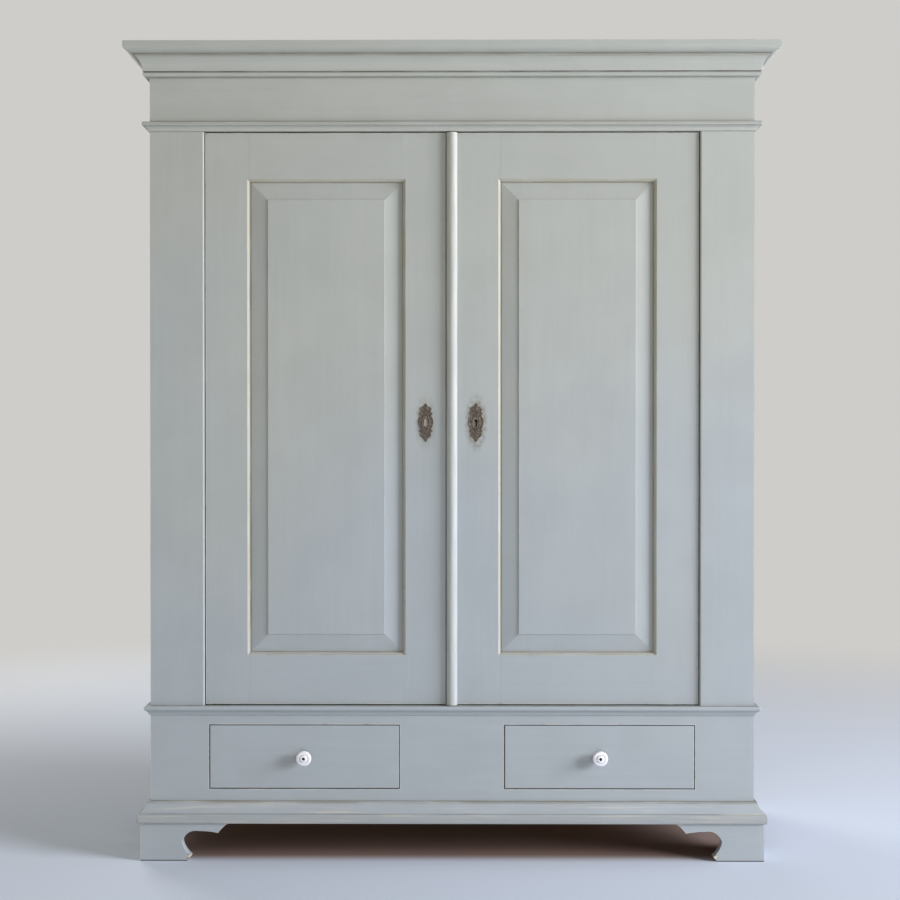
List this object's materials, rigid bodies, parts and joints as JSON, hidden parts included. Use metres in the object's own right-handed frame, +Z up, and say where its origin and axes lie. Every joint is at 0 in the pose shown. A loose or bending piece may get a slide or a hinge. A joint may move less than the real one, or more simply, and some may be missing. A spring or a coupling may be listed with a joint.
{
  "type": "wardrobe",
  "caption": "Free-standing painted wardrobe with panelled doors, moulded cornice, drawers below the doors and scrolled bracket feet.",
  "frame": {"origin": "on the floor, under the middle of the whole wardrobe, cornice included", "axes": "+X to the right along the front, +Y from the front to the back, +Z up"},
  "size_m": [1.596, 0.585, 2],
  "materials": {
    "painted_pine": "chalky pale grey-blue paint, worn at edges and in crevices",
    "bare_pine": "bare aged pine",
    "iron": "dull dark wrought iron",
    "aged_brass": "dark tarnished cast brass",
    "porcelain": "white glazed porcelain"
  },
  "bodies": {
    "case": {"back_boards": "bare_pine", "base_moulding": "painted_pine", "base_rail": "painted_pine", "cleats": "bare_pine", "cornice_bed_moulding": "painted_pine", "cornice_cap": "painted_pine", "deck_boards": "bare_pine", "drawer_runners": "bare_pine", "drawer_uprights": "painted_pine", "feet_rear": "painted_pine", "foot_front_left": "painted_pine", "foot_front_right": "painted_pine", "frieze_board": "painted_pine", "hanging_rail": "bare_pine", "hat_shelf": "bare_pine", "head_rail": "bare_pine", "neck_moulding": "painted_pine", "pivot_pins_lower": "iron", "pivot_pins_upper": "iron", "rail_sockets": "bare_pine", "side_left": "painted_pine", "side_right": "painted_pine", "stile_left": "painted_pine", "stile_right": "painted_pine", "top_boards": "bare_pine", "waist_moulding": "painted_pine", "waist_rail": "painted_pine"},
    "left_door": {"left_bolt_plates": "iron", "left_bottom_rail": "painted_pine", "left_escutcheon": "aged_brass", "left_hinge_stile": "painted_pine", "left_meeting_stile": "painted_pine", "left_panel": "painted_pine", "left_pivot_sockets": "iron", "left_top_rail": "painted_pine", "lock_keep": "iron"},
    "right_door": {"right_bottom_rail": "painted_pine", "right_escutcheon": "aged_brass", "right_hinge_stile": "painted_pine", "right_meeting_stile": "painted_pine", "right_panel": "painted_pine", "right_pivot_sockets": "iron", "right_top_rail": "painted_pine", "astragal": "painted_pine", "lock_case": "iron"},
    "left_drawer": {"left_drawer_back": "bare_pine", "left_drawer_bottom": "bare_pine", "left_drawer_front": "painted_pine", "left_drawer_knob": "porcelain", "left_drawer_knob_screw": "iron", "left_drawer_sides": "bare_pine"},
    "right_drawer": {"right_drawer_back": "bare_pine", "right_drawer_bottom": "bare_pine", "right_drawer_front": "painted_pine", "right_drawer_knob": "porcelain", "right_drawer_knob_screw": "iron", "right_drawer_sides": "bare_pine"},
    "lock_bolt": {"lock_bolt": "iron"},
    "top_bolt": {"left_top_bolt": "iron"},
    "bottom_bolt": {"left_bottom_bolt": "iron"}
  },
  "joints": [
    {"name": "left_door_hinge", "type": "hinge", "parent": "case", "child": "left_door", "pos_m": [-0.5956, -0.2235, 1.0845], "axis": [0, 0, -1], "range_deg": [0, 105]},
    {"name": "right_door_hinge", "type": "hinge", "parent": "case", "child": "right_door", "pos_m": [0.5956, -0.2235, 1.0845], "axis": [0, 0, 1], "range_deg": [0, 105]},
    {"name": "left_drawer_slide", "type": "slide", "parent": "case", "child": "left_drawer", "axis": [0, -1, 0], "range_m": [0, 0.38]},
    {"name": "right_drawer_slide", "type": "slide", "parent": "case", "child": "right_drawer", "axis": [0, -1, 0], "range_m": [0, 0.38]},
    {"name": "lock_bolt_slide", "type": "slide", "parent": "right_door", "child": "lock_bolt", "axis": [-1, 0, 0], "range_m": [0, 0.015]},
    {"name": "top_bolt_slide", "type": "slide", "parent": "left_door", "child": "top_bolt", "axis": [0, 0, 1], "range_m": [0, 0.016]},
    {"name": "bottom_bolt_slide", "type": "slide", "parent": "left_door", "child": "bottom_bolt", "axis": [0, 0, -1], "range_m": [0, 0.016]}
  ]
}
